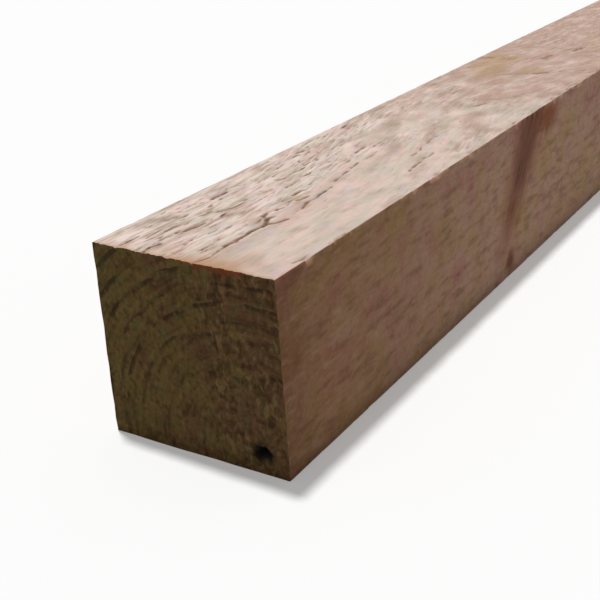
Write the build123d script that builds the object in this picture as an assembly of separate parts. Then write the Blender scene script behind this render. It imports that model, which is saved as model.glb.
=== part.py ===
from build123d import *
import os

# Sawn softwood batten, one crosscut piece of stock. Millimetres, +Z up.
# The length runs along X and the underside rests on Z = 0. The origin is the middle of the underside.
# The end that shows the pith hollow faces -X.

# Stock size
section_width = 50.0  # along Y
section_height = 50.0  # along Z
stock_length = 1800.0  # along X
arris_radius = 0.6  # the four long edges, worn a little from the saw

# Pith hollow, where the soft heart of the tree has shrunk back from the sawn end
pith_from_side = 7.2  # from the -Y face to the pith
pith_from_underside = 5.6
pith_mouth_diameter = 3.6
pith_floor_diameter = 1.4
pith_depth = 4.0
cut_overrun = 0.5  # how far a cutting shape stands out of the face that it cuts


def sawn_stock():
    """The square section with its eased arrises, run to the stock's full length."""
    section = RectangleRounded(section_width, section_height, arris_radius)
    section_plane = Plane.YZ.offset(-stock_length / 2)
    raised_section = section_plane * Pos(0, section_height / 2) * section
    return extrude(raised_section, amount=stock_length)


def pith_hollow():
    """A tapered pit turned about the pith, mouth at the -X end and narrowing into the wood."""
    mouth_radius = pith_mouth_diameter / 2
    floor_radius = pith_floor_diameter / 2
    half_profile = Polyline(
        (0, -cut_overrun),
        (mouth_radius, -cut_overrun),
        (mouth_radius, 0),
        (floor_radius, pith_depth),
        (0, pith_depth),
        close=True,
    )
    pit = revolve(make_face(half_profile), axis=Axis.Y)
    pith_mouth = Plane(
        origin=(-stock_length / 2, pith_from_side - section_width / 2, pith_from_underside),
        x_dir=(0, 1, 0),
        z_dir=(0, 0, -1),
    )
    return pith_mouth * pit


batten = sawn_stock() - pith_hollow()

os.makedirs("parts", exist_ok=True)
export_step(batten, "parts/batten.step")
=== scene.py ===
"""Rough-sawn softwood batten: torn upper face, sawn sides and crosscut ends of one piece of stock."""
import math

import bpy
from mathutils import Matrix, Vector
from mathutils.geometry import delaunay_2d_cdt


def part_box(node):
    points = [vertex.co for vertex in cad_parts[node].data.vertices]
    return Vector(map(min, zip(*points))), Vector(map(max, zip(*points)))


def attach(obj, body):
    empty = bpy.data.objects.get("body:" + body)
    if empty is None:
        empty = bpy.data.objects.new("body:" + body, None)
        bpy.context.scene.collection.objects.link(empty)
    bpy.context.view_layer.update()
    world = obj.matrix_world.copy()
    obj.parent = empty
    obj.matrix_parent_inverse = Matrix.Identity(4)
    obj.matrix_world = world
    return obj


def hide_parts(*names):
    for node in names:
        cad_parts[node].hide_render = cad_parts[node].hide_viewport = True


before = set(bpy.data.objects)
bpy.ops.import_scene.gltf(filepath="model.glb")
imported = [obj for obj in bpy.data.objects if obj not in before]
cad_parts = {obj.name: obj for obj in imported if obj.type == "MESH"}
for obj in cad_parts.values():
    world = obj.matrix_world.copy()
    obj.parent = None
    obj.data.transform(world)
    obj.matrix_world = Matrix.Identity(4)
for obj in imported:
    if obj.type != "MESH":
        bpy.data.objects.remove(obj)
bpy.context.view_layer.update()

LOW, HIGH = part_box("batten")

# Sizes in this script are millimetres, turned to metres where Blender takes them.
MM = 0.001
LENGTH = (HIGH.x - LOW.x) / MM
WIDTH = (HIGH.y - LOW.y) / MM
HEIGHT = (HIGH.z - LOW.z) / MM
HALF = WIDTH / 2
ARRIS = 0.25
NEAR_END = LOW.x

# The tree in the stock: the pith runs along the batten near its lower right arris.
PITH_FROM_MIDDLE = -17.8
PITH_FROM_UNDERSIDE = 5.6
PITH_HOLLOW = 1.8
RING = 4.75
RING_FLATTENING = (0.0, 0.96, 1.02)
SWAY_LENGTH = 230.0
SWAY = (0.0, 0.3, 0.55)
WANDER_LENGTH = 300.0
WANDER = 5.0
WANDER_START = 90.0
WANDER_FULL = 380.0
RING_RIPPLE = 1.2

# Branches, each from the pith: place along, then its way out (along, across, up), radius at the pith, flare.
BRANCHES = (
    (123.5, (25.0, -7.2, 44.4), 5.3, 0.1),
    (131.5, (1.0, -7.0, -1.2), 2.8, 0.05),
    (92.0, (116.0, 32.5, 44.4), 3.4, 0.02),
    (560.0, (14.0, 42.0, 20.0), 3.0, 0.09),
    (566.0, (12.0, 8.0, 44.0), 2.2, 0.08),
    (985.0, (10.0, 20.0, 42.0), 3.2, 0.08),
    (992.0, (3.0, -7.0, 3.0), 2.6, 0.08),
    (1396.0, (16.0, 12.0, 44.0), 2.6, 0.10),
    (1404.0, (15.0, 42.0, 8.0), 2.8, 0.07),
)
BRANCH_REACH = 4.5
BRANCH_SWELL = 5.0

# A rusty patch beside the first branch, twice as long as it is high, and its middle at that scale
RUSTY_PATCH_SCALE = (0.5, 0.0, 1.0)
RUSTY_PATCH = (81.0, 0.0, 45.0)

# The upper face's grain leans to the left as far as the first branch, then back to the right.
LEAN_START = 40.0
LEAN_LEFT = -18.0
LEAN_TURN = 172.0
LEAN_RIGHT = 24.0
LEAN_END = 262.0

# How rough the saw left the upper face: inside the tenth ring, outside it, and evened out further along
CLEAN_ROUGHNESS = 0.46
TORN_ROUGHNESS = 1.1
TORN_FROM_RING = 9.85
TORN_FULL_RING = 10.2
LOOSE_START = 50.0
LOOSE_END = 180.0
LOOSE_RINGS = 9.0
EVEN_START = 80.0
EVEN_END = 160.0
EVEN_SHARE = 0.8
FAR_ROUGHNESS = 0.6
TEAR_ROWS_A_RING = 2.0

# Splits that the saw left in the upper face, and soft dark marks round the branches: half width, depth share,
# then the places (along, across) that each runs through.
SPLITS = (
    # The long one right of the middle of the near end, its hook, and the edge of the torn wood beyond it
    (0.7, 0.7, (0.0, -3.8), (2.7, -4.5), (5.3, -5.0), (11.5, -4.2)),
    (1.0, 0.95, (11.5, -4.2), (18.8, -4.4), (22.4, -4.2), (25.4, -4.6), (27.7, -4.3)),
    (1.0, 0.95, (27.7, -4.3), (28.7, -6.4), (30.8, -7.1), (32.1, -7.4)),
    (1.0, 1.0, (28.1, -4.2), (30.5, -2.8), (32.5, -3.6)),
    (0.8, 0.9, (31.3, -1.0), (33.4, -0.7)),
    (0.5, 0.4, (32.1, -7.4), (39.0, -6.2)),
    (0.7, 0.8, (39.9, -6.5), (44.7, -5.1), (48.0, -5.3), (51.8, -4.7), (58.0, -4.6)),
    (0.8, 0.85, (61.7, -2.6), (66.0, -2.2), (71.5, -1.6)),
    (0.7, 0.7, (73.0, -1.0), (79.0, -0.4)),
    (0.7, 0.45, (82.0, -0.8), (91.0, 0.0)),
    # Left of it, row by row to the left arris
    (0.6, 0.6, (6.7, -0.5), (8.7, -1.0), (11.2, -0.9)),
    (0.6, 0.5, (24.2, -1.3), (25.9, -1.8)),
    (0.6, 0.75, (36.7, -1.4), (41.6, -1.8)),
    (0.6, 0.75, (44.8, -2.0), (49.0, -3.1)),
    (0.6, 0.5, (3.2, 4.2), (3.6, 3.3)),
    (0.6, 0.55, (3.0, 2.0), (4.1, 1.2)),
    (0.6, 0.5, (30.1, 0.0), (32.1, -1.1)),
    (0.7, 0.9, (47.6, 0.9), (50.9, 1.0), (52.8, 0.4)),
    (0.6, 0.5, (57.1, 1.4), (58.0, 0.4)),
    (0.6, 0.4, (62.6, 6.2), (67.3, 1.7)),
    (0.5, 0.5, (6.9, 7.0), (10.0, 6.2)),
    (0.6, 0.6, (19.2, 6.3), (24.1, 5.8)),
    (0.9, 0.75, (86.5, 4.9), (93.0, 5.6)),
    (0.8, 1.0, (0.4, 10.3), (4.0, 10.5), (6.5, 10.2)),
    (0.7, 0.6, (8.0, 11.4), (13.1, 11.0)),
    (0.8, 0.9, (13.7, 11.3), (15.7, 10.2), (18.3, 9.5), (22.1, 9.2)),
    (0.7, 0.8, (29.3, 10.7), (33.7, 9.5), (36.9, 9.3)),
    (0.6, 0.6, (36.9, 9.3), (40.8, 9.6), (45.0, 9.3), (49.6, 8.6)),
    (0.8, 0.8, (56.4, 11.9), (57.6, 11.2), (60.3, 10.2)),
    (0.9, 0.65, (64.0, 11.3), (67.3, 10.3)),
    (0.7, 0.7, (70.4, 12.0), (73.7, 12.2), (76.6, 11.2)),
    (0.7, 0.6, (79.5, 11.6), (80.9, 10.6)),
    (1.0, 0.35, (7.6, 14.5), (10.0, 13.0)),
    (1.0, 0.5, (11.5, 14.3), (18.2, 13.9)),
    (0.7, 0.85, (24.9, 13.4), (28.4, 12.3)),
    (0.6, 0.55, (1.9, 18.2), (4.7, 16.3)),
    (1.2, 0.45, (18.5, 18.8), (23.0, 18.2)),
    (0.6, 0.5, (23.6, 21.5), (26.3, 18.2)),
    (0.7, 0.6, (29.7, 20.2), (34.0, 18.4)),
    (0.8, 0.9, (36.3, 18.1), (39.7, 18.3), (42.9, 17.7)),
    (0.7, 0.55, (46.7, 18.8), (50.1, 17.0)),
    (0.7, 0.55, (67.1, 23.0), (70.2, 22.5)),
    (0.7, 0.55, (78.9, 20.1), (83.3, 19.7), (88.1, 18.4)),
    (0.6, 0.7, (109.0, 21.7), (113.0, 23.0)),
    # In the cleaner wood and at the right arris
    (0.7, 0.65, (77.0, -16.5), (87.0, -15.3), (96.0, -15.2)),
    (0.9, 0.5, (90.5, -11.2), (95.0, -10.8), (99.0, -9.8)),
    (0.8, 0.5, (103.5, -9.2), (107.5, -8.4), (111.9, -8.8)),
    (0.7, 0.85, (9.5, -23.1), (11.3, -23.7), (12.2, -24.7)),
    (0.8, 0.7, (22.5, -24.5), (30.0, -24.9)),
    # Round the branches further along
    (0.7, 0.5, (128.1, 16.8), (133.3, 16.3)),
    (0.9, 0.85, (148.2, -4.6), (151.6, -5.6), (153.4, -6.6)),
    (0.9, 0.5, (155.1, -1.2), (158.1, -1.0)),
    (0.9, 0.4, (152.7, 5.0), (154.9, -0.6)),
    (0.9, 0.4, (157.1, -2.5), (160.3, -8.8)),
    (0.8, 0.4, (145.4, -13.8), (147.5, -15.7), (152.5, -15.4), (154.4, -18.5)),
    (0.9, 0.35, (162.9, -9.5), (167.3, -12.8)),
    (0.9, 0.25, (164.0, 4.1), (170.2, 4.9), (173.9, 3.8), (174.4, 0.3)),
    (0.8, 0.3, (181.9, -21.8), (188.4, -21.4), (192.1, -22.3)),
    (2.8, 0.36, (195.7, 6.7), (198.3, 2.2), (200.9, -2.6)),
    (2.6, 0.5, (201.5, -5.5), (205.0, -8.4)),
    (1.0, 0.5, (196.1, 16.0), (199.2, 12.5)),
    (1.0, 0.4, (198.1, 23.8), (201.7, 21.7)),
    (1.4, 0.7, (219.0, 24.4), (222.9, 22.4), (223.7, 19.8)),
    (2.4, 0.5, (228.5, 1.2), (235.5, 0.2)),
    (2.4, 0.55, (246.0, -5.2), (254.0, -6.4)),
    (1.2, 0.3, (224.9, 4.3), (231.2, 0.9), (241.2, -3.4), (249.5, -5.2), (256.6, -9.5)),
)

# Ochre patches in the upper face: middle (along, across), reach along and across, strength.
OCHRE_PATCHES = (
    (47.5, -1.6, 5.0, 2.6, 0.7),
    (41.0, -3.3, 4.5, 1.8, 0.4),
    (29.4, 13.8, 3.0, 1.4, 0.7),
    (30.6, 7.0, 3.0, 1.4, 0.4),
    (160.0, -14.0, 4.5, 3.5, 0.75),
    (201.0, 13.2, 4.0, 4.0, 0.6),
    (207.0, -2.8, 6.5, 7.0, 0.8),
    (224.2, 15.0, 8.0, 8.0, 0.9),
    (225.0, -20.0, 5.0, 3.0, 0.5),
    (263.0, -8.5, 6.0, 4.0, 0.8),
)

# How deep the saw's relief goes; the skew is how far the near crosscut's lower right corner lies back.
RELIEF = {
    "Tear depth": 0.85,
    "Fibre depth": 0.16,
    "Saw ripple": 0.15,
    "End tear": 0.6,
    "Chip depth": 1.1,
    "Pith depth": 3.5,
    "End skew": 1.5,
    "End fray": 0.3,
}
SKEW_REACH = 14.0
FRAY_REACH = 0.6
CHIP_LENGTH = 5.0
CHIP_REACH = 1.8
PITH_FLATTENING = (0.0, 0.9, 1.1)
PITH_RAGGEDNESS = 3.2

# Points of the blank: its faces in order round the section, from the upper face, and their share of points.
FACES = ("upper", "right", "under", "left")
FACE_STEPS = {"upper": 124, "right": 32, "under": 10, "left": 14}
FACE_START = {"upper": (HALF, HEIGHT), "right": (-HALF, HEIGHT), "under": (-HALF, 0.0), "left": (HALF, 0.0)}
FACE_WAY = {"upper": (-1, 0), "right": (0, -1), "under": (1, 0), "left": (0, 1)}
FACE_OUTWARD = {"upper": (0, 1), "right": (-1, 0), "under": (0, -1), "left": (1, 0)}
CLOSE_STRETCH = 300.0
CLOSE_STEP = 0.65
CLOSE_STEP_END = 1.3
CLOSE_STEP_HELD = 0.3
WIDE_STEPS = 188
END_GRID = 0.6
FAR_END_GRID = 1.6
PIT_RINGS = 10
PIT_POINTS = 24
SHARP_ANGLE = 60.0

# Which finish a face gets
TORN, CLEAN, CROSSCUT = range(3)
FACE_FINISH = {"upper": TORN, "right": CLEAN, "under": CLEAN, "left": CLEAN}
FACE_FINISH |= {"near end": CROSSCUT, "far end": CROSSCUT}

# The square colour map that the finish can be kept on, in 1024ths: left, low, wide, high.
MAP = 1024
MAP_NEAR = {
    "upper": (0, 874, MAP, 150),
    "right": (0, 774, MAP, 100),
    "left": (264, 699, 760, 75),
    "under": (264, 624, 760, 75),
}
MAP_ENDS = {"near end": (0, 624, 150, 150), "far end": (156, 624, 102, 150)}
MAP_FAR_ROW = 78
MAP_MARGIN = 2

# Camera, fitted to the batten's edges in the photograph
CAMERA_BEFORE_END = 156.22
CAMERA_BESIDE = -133.3
CAMERA_ABOVE = 131.03
CAMERA_RIGHT = (0.5305, -0.8465, -0.0453)
CAMERA_UP = (0.3708, 0.1838, 0.9103)
CAMERA_LENS = 61.126
CAMERA_SENSOR = 36.0
CAMERA_CLIP = 10.0

# Light
SUN_SHARE = 0.8
SKY_SHARE = 0.2
SUN_SOFTNESS = 4.5
SUN_LEAN_BACK = 3.6
SUN_LEAN_LEFT = 6.7
FLOOR_METRES = 30.0
FLOOR_SEEN = "FDFDFD"
FLOOR_THROWN = "BCBCBC"
FLOOR_GLOW = 0.27


def linear(code):
    """An sRGB hex colour as linear red, green, blue and alpha."""
    shares = [int(code[i:i + 2], 16) / 255 for i in (0, 2, 4)]
    return [c / 12.92 if c <= 0.04045 else ((c + 0.055) / 1.055) ** 2.4 for c in shares] + [1.0]


def add(tree, kind, inputs=(), out=0, **settings):
    """Adds one node with its settings, sets or links its inputs, and returns one of its outputs."""
    node = tree.nodes.new(kind)
    for name, value in settings.items():
        setattr(node, name, value)
    for place, value in inputs.items() if isinstance(inputs, dict) else enumerate(inputs):
        if isinstance(value, bpy.types.NodeSocket):
            tree.links.new(value, node.inputs[place])
        else:
            node.inputs[place].default_value = value
    return node.outputs[out] if node.outputs else node


MATH = "ShaderNodeMath"
VECTOR = "ShaderNodeVectorMath"
PARTS = "ShaderNodeSeparateXYZ"
NOISE = "ShaderNodeTexNoise"
CELLS = "ShaderNodeTexVoronoi"
RANGE = "ShaderNodeMapRange"
MIX = "ShaderNodeMix"
SMOOTH = {"interpolation_type": "SMOOTHSTEP"}

# A size so large that a pattern doesn't change that way
FLAT = 1000.0


def streaks(tree, place, size, seed, detail=2.0, out=0):
    """Patches about as large as size (along, across, up), drawn out along the grain; 0 to 1 round a half."""
    at = add(tree, VECTOR, (place, [1 / s for s in size], (seed, seed * 0.7, 0.0)), operation="MULTIPLY_ADD")
    return add(tree, NOISE, {"Vector": at, "Scale": 1.0, "Detail": detail}, out)


def flakes(tree, place, size, seed):
    """Ragged flakes about as large as size, each torn deeper towards its far end; 0, flush, to 1."""
    ragged = streaks(tree, place, (size[0] * 0.4, size[1], FLAT), seed, 2.0, 1)
    at = add(tree, VECTOR, (place, [1 / s for s in size], (seed, seed * 0.7, 0.0)), operation="MULTIPLY_ADD")
    at = add(tree, VECTOR, (ragged, (0.5, 0.9, 0.0), at), operation="MULTIPLY_ADD")
    cell = add(tree, CELLS, {"Vector": at, "Scale": 1.0}, "Position", voronoi_dimensions="2D")
    past = add(tree, VECTOR, (at, cell), operation="SUBTRACT")
    fall = add(tree, RANGE, (add(tree, PARTS, (past,), "X"), -0.6, 0.7), **SMOOTH)
    chance = add(tree, PARTS, (cell.node.outputs["Color"],), "X")
    chance = add(tree, MATH, (chance, 2.0), operation="POWER")
    return add(tree, MATH, (chance, fall), operation="MULTIPLY")


def grain_shift(tree, along):
    """How far the upper face's grain runs to the side at each place along."""
    left = add(tree, RANGE, (along, LEAN_START, LEAN_TURN, 0.0, LEAN_LEFT), **SMOOTH)
    right = add(tree, RANGE, (along, LEAN_TURN, LEAN_END, 0.0, LEAN_RIGHT), **SMOOTH)
    return add(tree, "ShaderNodeCombineXYZ", (0.0, add(tree, MATH, (left, right), operation="ADD"), 0.0))


def stem_figure(tree, place, upper_face=False):
    """Where a place lies in the tree: its ring count, its place beside the pith, and its nearest branch."""
    along = add(tree, PARTS, (place,), "X")
    swayed = add(tree, MATH, (along, SWAY_LENGTH), operation="MINIMUM")
    turn = add(tree, MATH, (swayed, 2 * math.pi / SWAY_LENGTH), operation="MULTIPLY")
    sway = add(tree, MATH, (1.0, add(tree, MATH, (turn,), operation="COSINE")), operation="SUBTRACT")
    sway_path = add(tree, VECTOR, {0: SWAY, "Scale": sway}, operation="SCALE")
    far = add(tree, MATH, (along, 1 / WANDER_LENGTH), operation="MULTIPLY")
    drift = add(tree, NOISE, {"W": far, "Scale": 1.0, "Detail": 1.0}, 1, noise_dimensions="1D")
    drift = (drift, (0, 2 * WANDER, 2 * WANDER), (0, -WANDER, -WANDER))
    drift = add(tree, VECTOR, drift, operation="MULTIPLY_ADD")
    started = add(tree, RANGE, (along, WANDER_START, WANDER_FULL), **SMOOTH)
    drift = add(tree, VECTOR, {0: drift, "Scale": started}, operation="SCALE")
    path = add(tree, VECTOR, (sway_path, drift), operation="ADD")
    path = add(tree, VECTOR, (path, (0, PITH_FROM_MIDDLE, PITH_FROM_UNDERSIDE)), operation="ADD")
    beside = add(tree, VECTOR, (place, path), operation="SUBTRACT")
    grain = beside
    if upper_face:
        grain = add(tree, VECTOR, (beside, grain_shift(tree, along)), operation="ADD")
    flattened = add(tree, VECTOR, (grain, RING_FLATTENING), operation="MULTIPLY")
    radius = add(tree, VECTOR, (flattened,), "Value", operation="LENGTH")
    ripple = streaks(tree, place, (70, 14, 14), 3.1)
    radius = add(tree, MATH, (ripple, 2 * RING_RIPPLE, radius), operation="MULTIPLY_ADD")
    radius = add(tree, MATH, (radius, RING_RIPPLE), operation="SUBTRACT")

    # Each place's distance from its nearest branch's middle, as a share of that branch's radius there
    nearest = None
    for start, way, core, flare in BRANCHES:
        way = Vector(way).normalized()
        from_start = add(tree, VECTOR, (beside, (start, 0, 0)), operation="SUBTRACT")
        out = add(tree, VECTOR, (from_start, way), "Value", operation="DOT_PRODUCT")
        axis = add(tree, VECTOR, {0: way, "Scale": out}, operation="SCALE")
        off_axis = add(tree, VECTOR, (from_start, axis), "Value", operation="DISTANCE")
        thickness = add(tree, MATH, (out, flare, core), operation="MULTIPLY_ADD")
        thickness = add(tree, MATH, (thickness, core), operation="MAXIMUM")
        share = add(tree, MATH, (off_axis, thickness), operation="DIVIDE")
        behind = add(tree, RANGE, (out, 1.0, -1.0, 0.0, 9.0), **SMOOTH)
        share = add(tree, MATH, (share, behind), operation="ADD")
        nearest = share if nearest is None else add(tree, MATH, (nearest, share), operation="MINIMUM")
    swell = add(tree, RANGE, (nearest, BRANCH_REACH, 0.7, 0.0, BRANCH_SWELL), **SMOOTH)
    radius = add(tree, MATH, (radius, swell), operation="SUBTRACT")
    ring = add(tree, MATH, (radius, RING), operation="DIVIDE")
    return {"along": along, "grain": grain, "ring": ring, "branch": nearest}


def torn_grain(tree, place, figure):
    """How deep the saw tore the upper face at a place, 0 being flush, and how rough it left it there."""
    along, ring, grain = figure["along"], figure["ring"], figure["grain"]

    # Roughest outside the tenth ring, and further along in loose patches
    patch = add(tree, MATH, (streaks(tree, place, (60, 12, FLAT), 7.7), 0.5), operation="SUBTRACT")
    loose = add(tree, RANGE, (along, LOOSE_START, LOOSE_END, 1.0, LOOSE_RINGS), **SMOOTH)
    torn_ring = add(tree, MATH, (patch, loose, ring), operation="MULTIPLY_ADD")
    rough = (torn_ring, TORN_FROM_RING, TORN_FULL_RING, CLEAN_ROUGHNESS, TORN_ROUGHNESS)
    rough = add(tree, RANGE, rough, **SMOOTH)
    evened = add(tree, RANGE, (along, EVEN_START, EVEN_END, 0.0, EVEN_SHARE), **SMOOTH)
    rough = add(tree, MIX, {0: evened, 2: rough, 3: FAR_ROUGHNESS})
    torn = add(tree, MATH, (flakes(tree, grain, (22, 2.4, FLAT), 3.3), 0.26), operation="MULTIPLY")
    torn = add(tree, MATH, (flakes(tree, grain, (12, 1.5, FLAT), 8.1), 0.2, torn), operation="MULTIPLY_ADD")
    for size, seed, depth in (((13, 1.3, FLAT), 1.3, 0.26), ((5, 1.3, FLAT), 5.9, 0.36)):
        dash = add(tree, RANGE, (streaks(tree, grain, size, seed), 0.57, 0.72), **SMOOTH)
        torn = add(tree, MATH, (dash, depth, torn), operation="MULTIPLY_ADD")

    # Longer tears in rows along the rings, measured across the face
    wobble = streaks(tree, place, (9, 3, FLAT), 2.2, 3.0)
    row = add(tree, MATH, (ring, TEAR_ROWS_A_RING, 0.35), operation="MULTIPLY_ADD")
    row = add(tree, MATH, (wobble, 0.3, row), operation="MULTIPLY_ADD")
    off = add(tree, MATH, (add(tree, MATH, (row,), operation="FRACT"), 0.5), operation="SUBTRACT")
    off = add(tree, MATH, (off,), operation="ABSOLUTE")
    off = add(tree, MATH, (off, RING * HEIGHT / TEAR_ROWS_A_RING), operation="MULTIPLY")
    sideways = add(tree, MATH, (add(tree, PARTS, (grain,), "Y"),), operation="ABSOLUTE")
    off = add(tree, MATH, (off, add(tree, MATH, (sideways, 6.0), operation="MAXIMUM")), operation="DIVIDE")
    strength = add(tree, RANGE, (streaks(tree, grain, (14, 2.5, FLAT), 9.4), 0.46, 0.66, 0.0, 0.35), **SMOOTH)
    long_tear = add(tree, MATH, (add(tree, RANGE, (off, 0.9, 0.1), **SMOOTH), strength), operation="MULTIPLY")
    torn = add(tree, MATH, (torn, long_tear), operation="MAXIMUM")
    from_arris = add(tree, RANGE, (along.node.outputs["Y"], HALF - 0.3, HALF - 2.5), **SMOOTH)
    torn = add(tree, MATH, (torn, from_arris), operation="MULTIPLY")
    return add(tree, MATH, (torn, rough), operation="MULTIPLY"), rough


def long_splits(tree, place):
    """How deep the longer splits run at a place, from 0, flush, to 1: each is a wavering line."""
    waver = streaks(tree, place, (3.0, 1.6, FLAT), 4.4, 3.0, 1)
    waver = add(tree, VECTOR, (waver, (0, 2.0, 0), (0, -1.0, 0)), operation="MULTIPLY_ADD")
    flat = add(tree, VECTOR, (place, (1, 1, 0)), operation="MULTIPLY")
    flat = add(tree, VECTOR, (flat, waver), operation="ADD")
    deepest = None
    for half_width, share, *places in SPLITS:
        for begin, end in zip(places, places[1:]):
            start = Vector((*begin, 0))
            run = Vector((*end, 0)) - start
            from_start = add(tree, VECTOR, (flat, start), operation="SUBTRACT")
            part = add(tree, VECTOR, (from_start, run / run.length_squared), "Value", operation="DOT_PRODUCT")
            part = add(tree, MATH, (part, 1.0), operation="MULTIPLY", use_clamp=True)
            nearest = add(tree, VECTOR, {0: run, "Scale": part}, operation="SCALE")
            gap = add(tree, VECTOR, (from_start, nearest), "Value", operation="DISTANCE")
            split = add(tree, RANGE, (gap, half_width, 0.0, 0.0, share), **SMOOTH)
            deepest = split if deepest is None else add(tree, MATH, (deepest, split), operation="MAXIMUM")
    broken = add(tree, RANGE, (streaks(tree, place, (2.5, 1.5, FLAT), 5.5), 0.36, 0.56, 0.5, 1.0), **SMOOTH)
    return add(tree, MATH, (deepest, broken), operation="MULTIPLY")


def ochre_patches(tree, place):
    """How strongly the ochre patches show at a place, from 0 to 1: each has ragged sides."""
    strongest = None
    for along, across, reach_along, reach_across, strength in OCHRE_PATCHES:
        scale = (1 / reach_along, 1 / reach_across, 0)
        middle = (-along / reach_along, -across / reach_across, 0)
        off = add(tree, VECTOR, (place, scale, middle), operation="MULTIPLY_ADD")
        gap = add(tree, VECTOR, (off,), "Value", operation="LENGTH")
        patch = add(tree, RANGE, (gap, 1.3, 0.4, 0.0, strength), **SMOOTH)
        strongest = patch if strongest is None else add(tree, MATH, (strongest, patch), operation="MAXIMUM")
    ragged = streaks(tree, place, (6, 2.5, FLAT), 28.0, 3.0)
    ragged = add(tree, RANGE, (ragged, 0.26, 0.66, 0.2, 1.0), **SMOOTH)
    return add(tree, MATH, (strongest, ragged), operation="MULTIPLY")


def around_section():
    """Points (across, up) round the section from the upper left arris, each with its outward way and face."""
    points = []
    for index, face in enumerate(FACES):
        corner, way, out = Vector(FACE_START[face]), Vector(FACE_WAY[face]), Vector(FACE_OUTWARD[face])
        before = Vector(FACE_OUTWARD[FACES[index - 1]])
        middle_out = (out + before).normalized()
        rounding = corner - (out + before) * ARRIS
        points.append((rounding + middle_out * ARRIS, middle_out, face))
        run = WIDTH if face in ("upper", "under") else HEIGHT
        flat = run - 2 * ARRIS
        for step in range(FACE_STEPS[face] + 1):
            points.append((corner + way * (ARRIS + flat * step / FACE_STEPS[face]), out, face))
    return points


def stations():
    """Distances from the near end at which the blank has a ring of points: close ones, then wide ones."""
    close = [0.0]
    while close[-1] < CLOSE_STRETCH:
        growth = (CLOSE_STEP_END - CLOSE_STEP) * max(0.0, close[-1] / CLOSE_STRETCH - CLOSE_STEP_HELD)
        close.append(close[-1] + CLOSE_STEP + growth)
    close = [s * CLOSE_STRETCH / close[-1] for s in close]
    far_stretch = LENGTH - CLOSE_STRETCH
    wide = [CLOSE_STRETCH + far_stretch * (i + 1) / WIDE_STEPS for i in range(WIDE_STEPS)]
    return close, wide


def end_cap(ring_points, mirror, grid):
    """Triangles over a sawn end: the ring's points, a grid inside it and closer points round the pith."""
    outline = [Vector((mirror * p.x, p.y)) for p in ring_points]
    inside = []
    count = round(WIDTH / grid)
    pith = Vector((mirror * PITH_FROM_MIDDLE, PITH_FROM_UNDERSIDE))
    pit_reach = 2 * PITH_HOLLOW if mirror < 0 else 0.0
    for i in range(1, count):
        for j in range(1, count):
            shift = 0.25 * grid * (1 if (i + j) % 2 else -1)
            p = Vector((-HALF + i * WIDTH / count + shift, j * HEIGHT / count))
            if (p - pith).length > pit_reach:
                inside.append(p)
    for k in range(PIT_RINGS if pit_reach else 0):
        for step in range(PIT_POINTS):
            angle = 2 * math.pi * (step + 0.5 * (k % 2)) / PIT_POINTS
            spoke = Vector((math.cos(angle), math.sin(angle)))
            inside.append(pith + spoke * pit_reach * (k + 0.6) / PIT_RINGS)
    loop = list(range(len(outline)))
    if mirror < 0:
        loop.reverse()
    flat, _, triangles, origin, _, _ = delaunay_2d_cdt(outline + inside, [], [loop], 1, 1e-5)
    return flat, triangles, origin


def map_place(face, corners):
    """Where the corners of one polygon of a face, in millimetres from the near end, lie on the colour map."""
    if face in MAP_ENDS:
        left, low, wide, high = MAP_ENDS[face]
        shares = [((y + HALF) / WIDTH, z / HEIGHT) for _, y, z in corners]
    else:
        start, run = Vector(FACE_START[face]), CLOSE_STRETCH
        begin, box = 0.0, MAP_NEAR[face]
        if min(x for x, _, _ in corners) > CLOSE_STRETCH - CLOSE_STEP / 2:
            run = (LENGTH - CLOSE_STRETCH) / 2
            part = int(max(x for x, _, _ in corners) > CLOSE_STRETCH + run + 1)
            begin = CLOSE_STRETCH + part * run
            box = (0, (2 * FACES.index(face) + part) * MAP_FAR_ROW, MAP, MAP_FAR_ROW)
        left, low, wide, high = box
        across = [(Vector((y, z)) - start).dot(Vector(FACE_WAY[face])) / WIDTH for _, y, z in corners]
        shares = [((x - begin) / run, a) for (x, _, _), a in zip(corners, across)]
    wide, high = wide - 2 * MAP_MARGIN, high - 2 * MAP_MARGIN
    return [((left + MAP_MARGIN + wide * a) / MAP, (low + MAP_MARGIN + high * b) / MAP) for a, b in shares]


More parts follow.
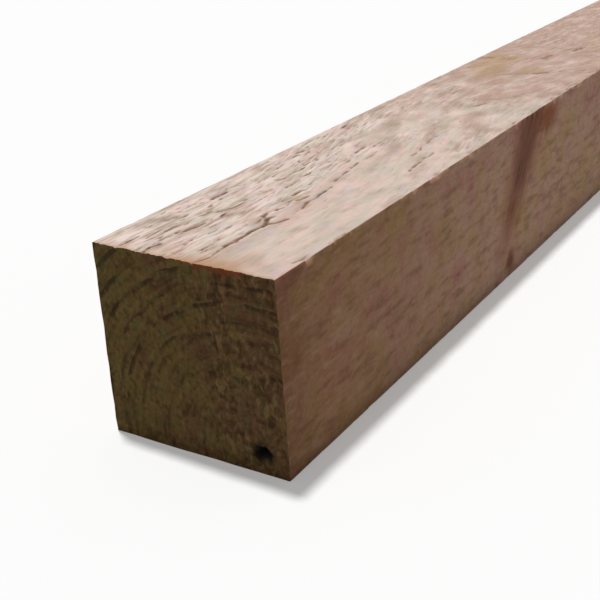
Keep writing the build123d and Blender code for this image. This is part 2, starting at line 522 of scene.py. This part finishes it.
def sawn_blank():
    """The batten's closed mesh before the saw's relief, with each point's outward way and each face's cut."""
    section = around_section()
    close, wide = stations()
    places, outs, polys, faces = [], [], [], []

    def ring(distance, points):
        first = len(places)
        for p, out, _ in points:
            places.append((distance, p.x, p.y))
            outs.append((0.0, out.x, out.y))
        return first

    coarse = section[::2]
    names = [face for _, _, face in section]
    firsts = [ring(s, section) for s in close]
    count = len(section)
    for a, b in zip(firsts, firsts[1:]):
        for j in range(count):
            k = (j + 1) % count
            polys.append((a + j, a + k, b + k, b + j))
            faces.append(names[j])
    wide_firsts = [ring(s, coarse) for s in wide]
    half = len(coarse)
    a, b = firsts[-1], wide_firsts[0]
    for j in range(half):
        k = (j + 1) % half
        f0, f1, f2 = a + 2 * j, a + 2 * j + 1, a + (2 * j + 2) % count
        polys += [(f0, f1, b + j), (f1, b + k, b + j), (f1, f2, b + k)]
        faces += [names[2 * j]] * 3
    for a, b in zip(wide_firsts, wide_firsts[1:]):
        for j in range(half):
            k = (j + 1) % half
            polys.append((a + j, a + k, b + k, b + j))
            faces.append(names[2 * j])
    for first, points, distance, mirror, grid, name in (
        (firsts[0], section, 0.0, -1, END_GRID, "near end"),
        (wide_firsts[-1], coarse, LENGTH, 1, FAR_END_GRID, "far end"),
    ):
        flat, triangles, origin = end_cap([p for p, _, _ in points], mirror, grid)
        index = {}
        for i, p in enumerate(flat):
            source = origin[i][0] if origin[i] else len(points)
            if source < len(points):
                index[i] = first + source
            else:
                index[i] = len(places)
                places.append((distance, mirror * p.x, p.y))
                outs.append((float(mirror), 0.0, 0.0))
        for triangle in triangles:
            polys.append([index[i] for i in triangle])
            faces.append(name)
    mesh = bpy.data.meshes.new("batten_blank")
    mesh.from_pydata([(NEAR_END + x * MM, y * MM, z * MM) for x, y, z in places], [], polys)
    outward = mesh.attributes.new("outward", "FLOAT_VECTOR", "POINT")
    outward.data.foreach_set("vector", [c for out in outs for c in out])
    cut = mesh.attributes.new("cut", "INT", "FACE")
    cut.data.foreach_set("value", [FACE_FINISH[face] for face in faces])
    colour_map = mesh.uv_layers.new(name="OFBake")
    spots = [spot for poly, face in zip(polys, faces) for spot in map_place(face, [places[i] for i in poly])]
    colour_map.uv.foreach_set("vector", [c for spot in spots for c in spot])
    mesh.update()
    return mesh


def millimetres(tree, place):
    """A place in metres as millimetres from the middle of the near end's lower edge."""
    return add(tree, VECTOR, (place, [1 / MM] * 3, (-NEAR_END / MM, 0, 0)), operation="MULTIPLY_ADD")


def pith_gap(tree, place, figure):
    """How far a place on the end lies from the ragged middle of the pith."""
    ragged = add(tree, MATH, (streaks(tree, place, (FLAT, 1.7, 1.7), 12.0), 0.5), operation="SUBTRACT")
    gap = add(tree, VECTOR, (figure["grain"], PITH_FLATTENING), operation="MULTIPLY")
    gap = add(tree, VECTOR, (gap,), "Value", operation="LENGTH")
    return add(tree, MATH, (ragged, PITH_RAGGEDNESS, gap), operation="MULTIPLY_ADD")


def frayed_ends(tree, place):
    """Curled tufts of fibre on a crosscut, most on its right half: below 0 on a tuft, above 0 in a gap."""
    at = add(tree, VECTOR, (place, (0, 1 / 1.7, 1 / 2.8)), operation="MULTIPLY")
    curl = add(tree, NOISE, {"Vector": at, "Scale": 1.0, "Detail": 1.0, "Distortion": 1.0})
    curl = add(tree, MATH, (curl, 0.5), operation="SUBTRACT")
    patch = add(tree, RANGE, (streaks(tree, place, (FLAT, 9, 9), 45.0), 0.36, 0.54), **SMOOTH)
    rightward = add(tree, RANGE, (add(tree, PARTS, (place,), "Y"), 4.0, -10.0, 0.15, 1.0), **SMOOTH)
    frayed = add(tree, MATH, (patch, rightward), operation="MULTIPLY")
    return add(tree, MATH, (curl, frayed), operation="MULTIPLY")


def sawn_relief(materials):
    """Geometry Nodes tree: lowers each face by what the saw tore out, and gives each cut its material."""
    tree = bpy.data.node_groups.new("sawn relief", "GeometryNodeTree")
    tree.interface.new_socket("Geometry", in_out="INPUT", socket_type="NodeSocketGeometry")
    for name in RELIEF:
        tree.interface.new_socket(name, in_out="INPUT", socket_type="NodeSocketFloat")
    tree.interface.new_socket("Geometry", in_out="OUTPUT", socket_type="NodeSocketGeometry")
    sizes = tree.nodes.new("NodeGroupInput").outputs
    position = add(tree, "GeometryNodeInputPosition")
    place = millimetres(tree, position)
    figure = stem_figure(tree, place)
    upper_figure = stem_figure(tree, place, upper_face=True)
    split = long_splits(tree, place)
    torn = add(tree, MATH, (torn_grain(tree, place, upper_figure)[0], split), operation="MAXIMUM")
    outward = add(tree, "GeometryNodeInputNamedAttribute", ("outward",), data_type="FLOAT_VECTOR")
    way = add(tree, PARTS, (outward,), "X").node.outputs

    on_upper = add(tree, RANGE, (way["Z"], 0.5, 0.75), **SMOOTH)
    on_end = add(tree, MATH, (way["X"],), operation="ABSOLUTE")
    on_near_end = add(tree, RANGE, (way["X"], -0.5, -0.6), **SMOOTH)

    upper = add(tree, MATH, (torn, sizes["Tear depth"]), operation="MULTIPLY")
    fibre = streaks(tree, upper_figure["grain"], (10, 1.5, 1.5), 6.1)
    upper = add(tree, MATH, (fibre, sizes["Fibre depth"], upper), operation="MULTIPLY_ADD")
    upper = add(tree, MATH, (upper, on_upper), operation="MULTIPLY")

    ripple = streaks(tree, figure["grain"], (22, 2.2, 2.2), 8.3)
    sawn = add(tree, MATH, (ripple, sizes["Saw ripple"]), operation="MULTIPLY")
    off_upper = add(tree, MATH, (1.0, on_upper), operation="SUBTRACT")
    sawn = add(tree, MATH, (sawn, off_upper), operation="MULTIPLY")

    # Torn ends of fibres on the crosscut, and the pith pit
    tufts = streaks(tree, place, (FLAT, 1.6, 1.6), 11.0, 3.0)
    tufts = add(tree, MATH, (frayed_ends(tree, place), 1.6, tufts), operation="MULTIPLY_ADD")
    tufts = add(tree, MATH, (tufts, 0.0), operation="MAXIMUM")
    end = add(tree, MATH, (tufts, sizes["End tear"]), operation="MULTIPLY")
    pit = add(tree, RANGE, (pith_gap(tree, place, figure), PITH_HOLLOW + 0.4, 0.7), **SMOOTH)
    pit = add(tree, MATH, (pit, sizes["Pith depth"]), operation="MULTIPLY")
    pit = add(tree, MATH, (pit, on_near_end), operation="MULTIPLY")
    end = add(tree, MATH, (end, on_end, pit), operation="MULTIPLY_ADD")

    depth = add(tree, MATH, (upper, sawn), operation="ADD")
    along_face = add(tree, MATH, (1.0, on_end), operation="SUBTRACT")
    depth = add(tree, MATH, (depth, along_face, end), operation="MULTIPLY_ADD")
    inward = add(tree, MATH, (depth, -MM), operation="MULTIPLY")
    inward = add(tree, VECTOR, {0: outward, "Scale": inward}, operation="SCALE")

    # Chips out of the arrises, most out of the upper right one, taken towards the middle of the section
    xyz = add(tree, PARTS, (place,), "X").node.outputs
    from_middle = add(tree, MATH, (xyz["Z"], HEIGHT / 2), operation="SUBTRACT")
    sideways = add(tree, MATH, (xyz["Y"],), operation="ABSOLUTE")
    upright = add(tree, MATH, (from_middle,), operation="ABSOLUTE")
    arris_gap = add(tree, MATH, (sideways, upright), operation="ADD")
    arris_gap = add(tree, MATH, (HALF + HEIGHT / 2, arris_gap), operation="SUBTRACT")
    chips = add(tree, RANGE, (streaks(tree, place, (CHIP_LENGTH, 30, 30), 15.5, 3.0), 0.5, 0.66), **SMOOTH)
    chip = add(tree, RANGE, (arris_gap, CHIP_REACH, 0.3), **SMOOTH)
    chip = add(tree, MATH, (chip, chips), operation="MULTIPLY")
    worn = add(tree, MATH, (xyz["Z"], xyz["Y"]), operation="SUBTRACT")
    worn = add(tree, RANGE, (worn, HEIGHT, HEIGHT + HALF - 2.0, 0.1, 1.0), **SMOOTH)
    chip = add(tree, MATH, (chip, worn), operation="MULTIPLY")
    chip = add(tree, MATH, (chip, sizes["Chip depth"]), operation="MULTIPLY")
    chip = add(tree, MATH, (chip, along_face), operation="MULTIPLY")
    to_middle = add(tree, "ShaderNodeCombineXYZ", (0.0, xyz["Y"], from_middle))
    to_middle = add(tree, VECTOR, (to_middle,), operation="NORMALIZE")
    chip = add(tree, MATH, (chip, -MM), operation="MULTIPLY")
    chipped = add(tree, VECTOR, {0: to_middle, "Scale": chip}, operation="SCALE")
    offset = add(tree, VECTOR, (inward, chipped), operation="ADD")

    # The near crosscut lies back to its lower right corner, and its edge is frayed
    rightward = add(tree, RANGE, (xyz["Y"], HALF, -HALF))
    downward = add(tree, RANGE, (xyz["Z"], HEIGHT, 0.0))
    back = add(tree, MATH, (rightward, downward), operation="MULTIPLY")
    back = add(tree, MATH, (back, add(tree, RANGE, (xyz["X"], SKEW_REACH, 0.0))), operation="MULTIPLY")
    back = add(tree, MATH, (back, sizes["End skew"]), operation="MULTIPLY")
    fray = add(tree, RANGE, (streaks(tree, place, (FLAT, 1.4, 1.4), 16.0), 0.42, 0.66), **SMOOTH)
    fray = add(tree, MATH, (fray, add(tree, RANGE, (xyz["X"], FRAY_REACH, 0.0))), operation="MULTIPLY")
    fray = add(tree, MATH, (fray, along_face), operation="MULTIPLY")
    back = add(tree, MATH, (fray, sizes["End fray"], back), operation="MULTIPLY_ADD")
    back = add(tree, "ShaderNodeCombineXYZ", (add(tree, MATH, (back, MM), operation="MULTIPLY"), 0.0, 0.0))
    offset = add(tree, VECTOR, (offset, back), operation="ADD")

    kept = {"Geometry": sizes["Geometry"], "Name": "sawn_place", "Value": position}
    geometry = add(tree, "GeometryNodeStoreNamedAttribute", kept, data_type="FLOAT_VECTOR", domain="POINT")
    for name, value in (("split", split), ("ochre", ochre_patches(tree, place))):
        kept = {"Geometry": geometry, "Name": name, "Value": value}
        geometry = add(tree, "GeometryNodeStoreNamedAttribute", kept, data_type="FLOAT", domain="POINT")
    geometry = add(tree, "GeometryNodeSetPosition", {"Geometry": geometry, "Offset": offset})
    geometry = add(tree, "GeometryNodeRealizeInstances", (geometry,))
    cut = add(tree, "GeometryNodeInputNamedAttribute", ("cut",), data_type="INT")
    for number, material in enumerate(materials):
        chosen = add(tree, "FunctionNodeCompare", {2: cut, 3: number}, data_type="INT", operation="EQUAL")
        finish = {"Geometry": geometry, "Selection": chosen, "Material": material}
        geometry = add(tree, "GeometryNodeSetMaterial", finish)
    add(tree, "NodeGroupOutput", (geometry,))
    return tree


def new_material(name):
    """An empty node material, its tree, and the place of each point on the sawn faces, in millimetres."""
    material = bpy.data.materials.new(name)
    material.use_nodes = True
    tree = material.node_tree
    tree.nodes.clear()
    sawn_place = add(tree, "ShaderNodeAttribute", out="Vector", attribute_name="sawn_place")
    return material, tree, millimetres(tree, sawn_place)


def stained(tree, colour, code, value, start, end, most=1.0, blend="MIX"):
    """Lays a stain over a colour where value goes from start to end, at most by a share."""
    share = add(tree, RANGE, (value, start, end, 0.0, most), **SMOOTH)
    return add(tree, MIX, {0: share, 6: colour, 7: linear(code)}, 2, data_type="RGBA", blend_type=blend)


def dull_wood(tree, colour, height, strength, unit, roughness, shine):
    """Ends a finish: its colour on a dull surface, with relief finer than the mesh's from a height."""
    bump = add(tree, "ShaderNodeBump", {"Height": height, "Strength": strength, "Distance": unit})
    surface = {"Base Color": colour, "Roughness": roughness, "Normal": bump, "Specular IOR Level": shine}
    add(tree, "ShaderNodeOutputMaterial", {"Surface": add(tree, "ShaderNodeBsdfPrincipled", surface)})


def late_wood(tree, figure):
    """The darker outer part of each year's ring: 0 at its start, 1 just before the next."""
    year = add(tree, MATH, (figure["ring"],), operation="FRACT")
    late = add(tree, RANGE, (year, 0.45, 0.93), **SMOOTH)
    return add(tree, MATH, (late, add(tree, RANGE, (year, 1.0, 0.94), **SMOOTH)), operation="MULTIPLY")


def torn_softwood():
    """Softwood torn by a coarse saw: pale lifted fibres with painted highlight, browner hollows with painted
    shade, pink and cream in drifts.
    """
    material, tree, place = new_material("softwood_torn_by_the_saw")
    figure = stem_figure(tree, place, upper_face=True)
    along, grain = figure["along"], figure["grain"]
    split = add(tree, "ShaderNodeAttribute", out="Fac", attribute_name="split")
    torn, rough = torn_grain(tree, place, figure)
    hollow = add(tree, MATH, (torn, split), operation="MAXIMUM")

    # Drifts of pink, cream and grey, and rounder tan and rose clouds that grow along the batten
    drift = streaks(tree, grain, (14, 5, FLAT), 21.0, 3.0)
    colour = stained(tree, linear("E8CEC3"), "D4C8B8", drift, 0.34, 0.66)
    colour = stained(tree, colour, "D4C5C8", streaks(tree, grain, (9, 4, FLAT), 23.0, 3.0), 0.48, 0.68, 0.5)
    growth = add(tree, RANGE, (along, 50.0, 230.0, -0.13, 0.16), **SMOOTH)
    cloud = add(tree, MATH, (streaks(tree, place, (13, 7, FLAT), 26.0, 3.0), growth), operation="ADD")
    colour = stained(tree, colour, "9E826D", cloud, 0.32, 0.74, 0.75)
    rose = add(tree, MATH, (streaks(tree, place, (16, 8, FLAT), 27.0, 3.0), growth), operation="ADD")
    colour = stained(tree, colour, "CDA49A", rose, 0.5, 0.66, 0.35)
    colour = stained(tree, colour, "AC8B74", late_wood(tree, figure), 0.2, 1.0, 0.2)

    # Fibres lie in lumps, most where the saw tore, pale on top and brown beside: partly the wood's own
    # mottle, partly painted highlight on the tops and painted shade beside them
    lump = add(tree, MATH, (streaks(tree, grain, (11.0, 2.1, FLAT), 25.0), 0.5), operation="SUBTRACT")
    lump = add(tree, MATH, (lump, rough), operation="MULTIPLY")
    colour = stained(tree, colour, "95765F", lump, 0.0, 0.24, 0.42)
    colour = stained(tree, colour, "F0E0D7", lump, -0.02, -0.24, 0.55)
    # Finer fibres the same way: painted highlight on their ridges and painted shade beside them
    fibre = add(tree, MATH, (streaks(tree, grain, (7.5, 1.1, FLAT), 22.0, 1.0), 0.5), operation="SUBTRACT")
    fibre = add(tree, MATH, (fibre, rough), operation="MULTIPLY")
    colour = stained(tree, colour, "9C7D66", fibre, 0.0, 0.22, 0.42)
    colour = stained(tree, colour, "F0E0D7", fibre, -0.02, -0.22, 0.4)
    ochre = add(tree, "ShaderNodeAttribute", out="Fac", attribute_name="ochre")
    # The ochre stain also reaches into the torn hollows and splits, as painted shade there
    ochre = add(tree, MATH, (hollow, 0.2, ochre), operation="MULTIPLY_ADD")
    colour = stained(tree, colour, "B2926A", ochre, 0.1, 0.9, 0.7)

    # Branches show grey at the near one and ochre at the far one
    knot = add(tree, RANGE, (figure["branch"], 1.7, 0.6, 0.0, 0.4), **SMOOTH)
    farther = add(tree, RANGE, (along, 165.0, 185.0))
    knot_colour = {0: farther, 6: linear("C6C1B3"), 7: linear("A98852")}
    knot_colour = add(tree, MIX, knot_colour, 2, data_type="RGBA")
    colour = add(tree, MIX, {0: knot, 6: colour, 7: knot_colour}, 2, data_type="RGBA")
    # Painted shade in the torn hollows: grey brown, deeper where the saw tore deeper
    colour = stained(tree, colour, "8A6F5C", torn, 0.1, 0.6, 0.9)

    # The wood is tan beside the crosscut, farthest along right of the middle
    across = along.node.outputs["Y"]
    to_left = add(tree, RANGE, (across, 14.0, -4.0, 8.0, 0.0), **SMOOTH)
    to_right = add(tree, RANGE, (across, -12.0, -22.0, 0.0, 9.0), **SMOOTH)
    rim = add(tree, MATH, (to_left, along), operation="ADD")
    rim = add(tree, MATH, (to_right, rim), operation="ADD")
    colour = stained(tree, colour, "BC977B", rim, 15.0, 0.0, 0.5)
    colour = stained(tree, colour, "B98A62", rim, 6.0, 0.5, 0.55)

    # The cleaner wood is a little darker, the very edge tan, and the splits brown, with painted shade at
    # their bottom
    colour = stained(tree, colour, "F7F5F3", rough, CLEAN_ROUGHNESS + 0.1, CLEAN_ROUGHNESS, 1.0, "MULTIPLY")
    colour = stained(tree, colour, "B4845A", along, 1.6, 0.2, 0.4)
    colour = stained(tree, colour, "856149", split, 0.08, 0.55, 0.85)
    colour = stained(tree, colour, "4A301F", split, 0.55, 0.95, 0.8)
    height = add(tree, MATH, (lump, -0.5), operation="MULTIPLY")
    height = add(tree, MATH, (fibre, -0.3, height), operation="MULTIPLY_ADD")
    height = add(tree, MATH, (torn, -RELIEF["Tear depth"], height), operation="MULTIPLY_ADD")
    dull_wood(tree, colour, height, strength=0.6, unit=MM, roughness=0.85, shine=0.25)
    return material


def sawn_softwood():
    """The same softwood sawn cleaner: an even reddish brown, fine flecks, faint rings, dark branch wood."""
    material, tree, place = new_material("softwood_sawn_clean")
    figure = stem_figure(tree, place)
    along, grain = figure["along"], figure["grain"]
    colour = stained(tree, linear("AC8261"), "CAA289", along, 0.0, 140.0)
    colour = stained(tree, colour, "7C5437", along, 22.0, -4.0, 0.6)
    for size, seed, most in (((22, 14, 14), 33.0, 0.65), ((5, 9, 9), 36.0, 0.65)):
        drift = streaks(tree, place, size, seed, 3.0)
        colour = stained(tree, colour, "F2F4D2", drift, 0.5, 0.68, most, "MULTIPLY")
        colour = stained(tree, colour, "F6DEEE", drift, 0.48, 0.32, most, "MULTIPLY")
    colour = stained(tree, colour, "7A573F", late_wood(tree, figure), 0.2, 1.0, 0.08)
    vein = streaks(tree, grain, (8.0, 2.2, 2.2), 31.0)
    colour = stained(tree, colour, "6D4A36", vein, 0.48, 0.74, 0.42)
    colour = stained(tree, colour, "D0AF98", vein, 0.46, 0.28, 0.2)
    fleck = streaks(tree, grain, (1.8, 0.9, 0.9), 32.0)
    colour = stained(tree, colour, "664431", fleck, 0.5, 0.74, 0.2)
    colour = stained(tree, colour, "D0AF98", fleck, 0.48, 0.28, 0.12)

    # Branch wood: reddish, soft at its sides, with darker lines that run up the first branch
    up_branch = Vector(BRANCHES[0][1]).normalized()
    over_branch = Vector((up_branch.z, 0.0, -up_branch.x)).normalized()
    up = add(tree, VECTOR, (place, up_branch), "Value", operation="DOT_PRODUCT")
    over = add(tree, VECTOR, (place, over_branch), "Value", operation="DOT_PRODUCT")
    lines = streaks(tree, add(tree, "ShaderNodeCombineXYZ", (over, up, 0.0)), (1.4, 15.0, FLAT), 34.0, 3.0)
    ragged = streaks(tree, place, (6, 6, 9), 35.0, 3.0)
    ragged = add(tree, MATH, (ragged, 0.5, lines), operation="MULTIPLY_ADD")
    branch = add(tree, MATH, (ragged, 0.8, figure["branch"]), operation="MULTIPLY_ADD")
    colour = stained(tree, colour, "9C5F44", branch, 2.4, 1.5, 0.5)
    colour = stained(tree, colour, "74452F", branch, 1.75, 0.95, 0.75)
    inner = add(tree, RANGE, (figure["branch"], 1.25, 0.85), **SMOOTH)
    lines = add(tree, MATH, (lines, inner), operation="MULTIPLY")
    colour = stained(tree, colour, "4A281D", lines, 0.5, 0.66, 0.6)

    # A rusty patch in the upper arris beside it
    patch = add(tree, VECTOR, (place, RUSTY_PATCH_SCALE), operation="MULTIPLY")
    patch = add(tree, VECTOR, (patch, RUSTY_PATCH), "Value", operation="DISTANCE")
    patch = add(tree, MATH, (ragged, 5.0, patch), operation="MULTIPLY_ADD")
    colour = stained(tree, colour, "8E4A26", patch, 11.0, 5.0, 0.8)
    height = add(tree, MATH, (vein, 0.25), operation="MULTIPLY")
    height = add(tree, MATH, (fleck, 0.08, height), operation="MULTIPLY_ADD")
    dull_wood(tree, colour, height, strength=0.6, unit=MM, roughness=0.85, shine=0.15)
    return material


def crosscut_end_grain():
    """Cut across the fibres, which drink in dirt and damp: dark olive brown, darker rings, frayed ends."""
    material, tree, place = new_material("softwood_end_grain")
    figure = stem_figure(tree, place)
    xyz = add(tree, PARTS, (place,), "X").node.outputs

    # Olive to the left and a purplish brown to the right, in clouds, with bands that bend with the rings
    drift = streaks(tree, place, (FLAT, 9, 9), 41.0, 3.0)
    drift = add(tree, MATH, (xyz["Y"], -0.006, drift), operation="MULTIPLY_ADD")
    colour = stained(tree, linear("725C31"), "6F4F32", drift, 0.38, 0.64)
    mottle = streaks(tree, place, (FLAT, 4, 4), 47.0, 3.0)
    colour = stained(tree, colour, "61613A", mottle, 0.52, 0.68, 0.5)
    colour = stained(tree, colour, "402B13", mottle, 0.48, 0.3, 0.6)
    beside_pith = add(tree, PARTS, (figure["grain"],), "X").node.outputs
    turn = add(tree, MATH, (beside_pith["Y"], beside_pith["Z"]), operation="ARCTAN2")
    turn = add(tree, MATH, (turn, HEIGHT * 0.7), operation="MULTIPLY")
    out = add(tree, MATH, (figure["ring"], RING), operation="MULTIPLY")
    round_pith = add(tree, "ShaderNodeCombineXYZ", (0.0, out, turn))
    band = streaks(tree, round_pith, (FLAT, 1.8, 12.0), 44.0, 4.0)
    colour = stained(tree, colour, "38270F", band, 0.46, 0.72, 0.65)
    colour = stained(tree, colour, "8C7443", band, 0.44, 0.28, 0.3)

    # Rings show as broken dashes, plainest far from the pith
    broken = add(tree, RANGE, (streaks(tree, round_pith, (FLAT, 4.0, 9.0), 42.0), 0.45, 0.58), **SMOOTH)
    late = add(tree, MATH, (late_wood(tree, figure), broken), operation="MULTIPLY")
    plain = add(tree, RANGE, (figure["ring"], 4.0, 9.0, 0.1, 1.0), **SMOOTH)
    late = add(tree, MATH, (late, plain), operation="MULTIPLY")
    colour = stained(tree, colour, "2B1D0B", late, 0.25, 0.85, 0.75)

    # Short tufts everywhere, and coarse curled ones to the right, with painted shade in the gaps between them
    tuft = streaks(tree, place, (FLAT, 1.2, 1.6), 43.0, 3.0)
    colour = stained(tree, colour, "352510", tuft, 0.5, 0.72, 0.6)
    colour = stained(tree, colour, "94794A", tuft, 0.46, 0.28, 0.4)
    curl = frayed_ends(tree, place)
    colour = stained(tree, colour, "2C1E0E", curl, 0.02, 0.2, 0.55)
    colour = stained(tree, colour, "957F54", curl, -0.03, -0.22, 0.45)

    # Redder, patchy fibres under the upper arris, right of the middle
    under = add(tree, MATH, (HEIGHT, xyz["Z"]), operation="SUBTRACT")
    under = add(tree, MATH, (under, add(tree, RANGE, (xyz["Y"], 3.0, -2.0, 2.5, 0.0))), operation="ADD")
    under = add(tree, MATH, (under, add(tree, RANGE, (xyz["Y"], -15.0, -22.0, 0.0, 2.0))), operation="ADD")
    patchy = streaks(tree, place, (FLAT, 4, 4), 46.0, 3.0)
    under = add(tree, MATH, (patchy, 5.0, under), operation="MULTIPLY_ADD")
    colour = stained(tree, colour, "8A4526", under, 4.6, 3.0, 0.75)

    # A brown halo round the pith, and within it near black: painted shade over the whole pit
    gap = pith_gap(tree, place, figure)
    colour = stained(tree, colour, "3A2812", gap, 4.0, 2.8, 0.5)
    colour = stained(tree, colour, "140F08", gap, 3.0, 1.9, 0.95)
    height = add(tree, MATH, (tuft, -0.7), operation="MULTIPLY")
    height = add(tree, MATH, (curl, -1.4, height), operation="MULTIPLY_ADD")
    dull_wood(tree, colour, height, strength=0.5, unit=0.6 * MM, roughness=0.9, shine=0.2)
    return material


def batten():
    """The whole batten: the blank with its relief worked in, in place of the plain solid."""
    materials = [torn_softwood(), sawn_softwood(), crosscut_end_grain()]
    blank = bpy.data.objects.new("batten_blank", sawn_blank())
    bpy.context.collection.objects.link(blank)
    tree = sawn_relief(materials)
    relief = blank.modifiers.new("sawn relief", "NODES")
    relief.node_group = tree
    for item in tree.interface.items_tree:
        if item.in_out == "INPUT" and item.name in RELIEF:
            relief[item.identifier] = RELIEF[item.name]
    depsgraph = bpy.context.evaluated_depsgraph_get()
    mesh = bpy.data.meshes.new_from_object(blank.evaluated_get(depsgraph), depsgraph=depsgraph)
    mesh.name = "sawn_batten"
    # The blank's own slot is empty
    mesh.materials.pop(index=0)
    bpy.data.objects.remove(blank)
    mesh.shade_smooth()
    mesh.set_sharp_from_angle(angle=math.radians(SHARP_ANGLE))
    piece = bpy.data.objects.new("sawn_batten", mesh)
    bpy.context.collection.objects.link(piece)
    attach(piece, "root")
    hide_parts("batten")


def seen_directly(tree):
    """1 for what the camera sees, also in gloss or through glass, and 0 for light thrown on other things."""
    ray = add(tree, "ShaderNodeLightPath").node.outputs
    seen = add(tree, MATH, (ray["Is Camera Ray"], ray["Is Glossy Ray"]), operation="MAXIMUM")
    return add(tree, MATH, (seen, ray["Is Transmission Ray"]), operation="MAXIMUM")


def floor():
    """A wide pale floor: white to the eye, the shadow on it thinned, and greyer to the light it throws."""
    mesh = bpy.data.meshes.new("floor")
    half = FLOOR_METRES / 2
    corners = [(-half, -half, 0), (half, -half, 0), (half, half, 0), (-half, half, 0)]
    mesh.from_pydata(corners, [], [(0, 1, 2, 3)])
    material = bpy.data.materials.new("pale_floor")
    material.use_nodes = True
    tree = material.node_tree
    tree.nodes.clear()
    thrown = add(tree, "ShaderNodeBsdfDiffuse", {"Color": linear(FLOOR_THROWN)})
    shaded = add(tree, "ShaderNodeBsdfDiffuse", {"Color": linear(FLOOR_SEEN)})
    glow = add(tree, "ShaderNodeEmission", {"Color": linear(FLOOR_SEEN), "Strength": 1.0})
    white = add(tree, "ShaderNodeMixShader", (FLOOR_GLOW, shaded, glow))
    surface = add(tree, "ShaderNodeMixShader", (seen_directly(tree), thrown, white))
    add(tree, "ShaderNodeOutputMaterial", {"Surface": surface})
    mesh.materials.append(material)
    stage = bpy.data.objects.new("floor", mesh)
    bpy.context.collection.objects.link(stage)


def light():
    """One soft lamp high behind and to the left, and an even sky that the camera sees as white."""
    lamp = bpy.data.lights.new("high_lamp", "SUN")
    lamp.angle = math.radians(SUN_SOFTNESS)
    lean = [math.tan(math.radians(angle)) for angle in (SUN_LEAN_BACK, SUN_LEAN_LEFT)]
    way = Vector((*lean, 1.0)).normalized()
    lamp.energy = SUN_SHARE * math.pi / way.z
    lamp_object = bpy.data.objects.new("high_lamp", lamp)
    lamp_object.rotation_euler = way.to_track_quat("Z", "Y").to_euler()
    bpy.context.collection.objects.link(lamp_object)

    world = bpy.data.worlds.new("even_sky")
    world.use_nodes = True
    tree = world.node_tree
    tree.nodes.clear()
    dim = add(tree, "ShaderNodeBackground", {"Color": linear("FFFFFF"), "Strength": SKY_SHARE})
    white = add(tree, "ShaderNodeBackground", {"Color": linear("FFFFFF"), "Strength": 1.0})
    sky = add(tree, "ShaderNodeMixShader", (seen_directly(tree), dim, white))
    add(tree, "ShaderNodeOutputWorld", {"Surface": sky})
    bpy.context.scene.world = world


def camera():
    """The photograph's view of the near end, along the batten to the upper right."""
    lens = bpy.data.cameras.new("camera")
    lens.lens = CAMERA_LENS
    lens.sensor_width = CAMERA_SENSOR
    lens.clip_start = CAMERA_CLIP * MM
    right, up = Vector(CAMERA_RIGHT).normalized(), Vector(CAMERA_UP).normalized()
    place = Vector((NEAR_END - CAMERA_BEFORE_END * MM, CAMERA_BESIDE * MM, CAMERA_ABOVE * MM))
    turn = Matrix((right, up, right.cross(up))).transposed()
    viewer = bpy.data.objects.new("camera", lens)
    viewer.matrix_world = Matrix.Translation(place) @ turn.to_4x4()
    bpy.context.collection.objects.link(viewer)
    bpy.context.scene.camera = viewer


batten()
floor()
light()
camera()
bpy.context.scene.view_settings.view_transform = "Standard"
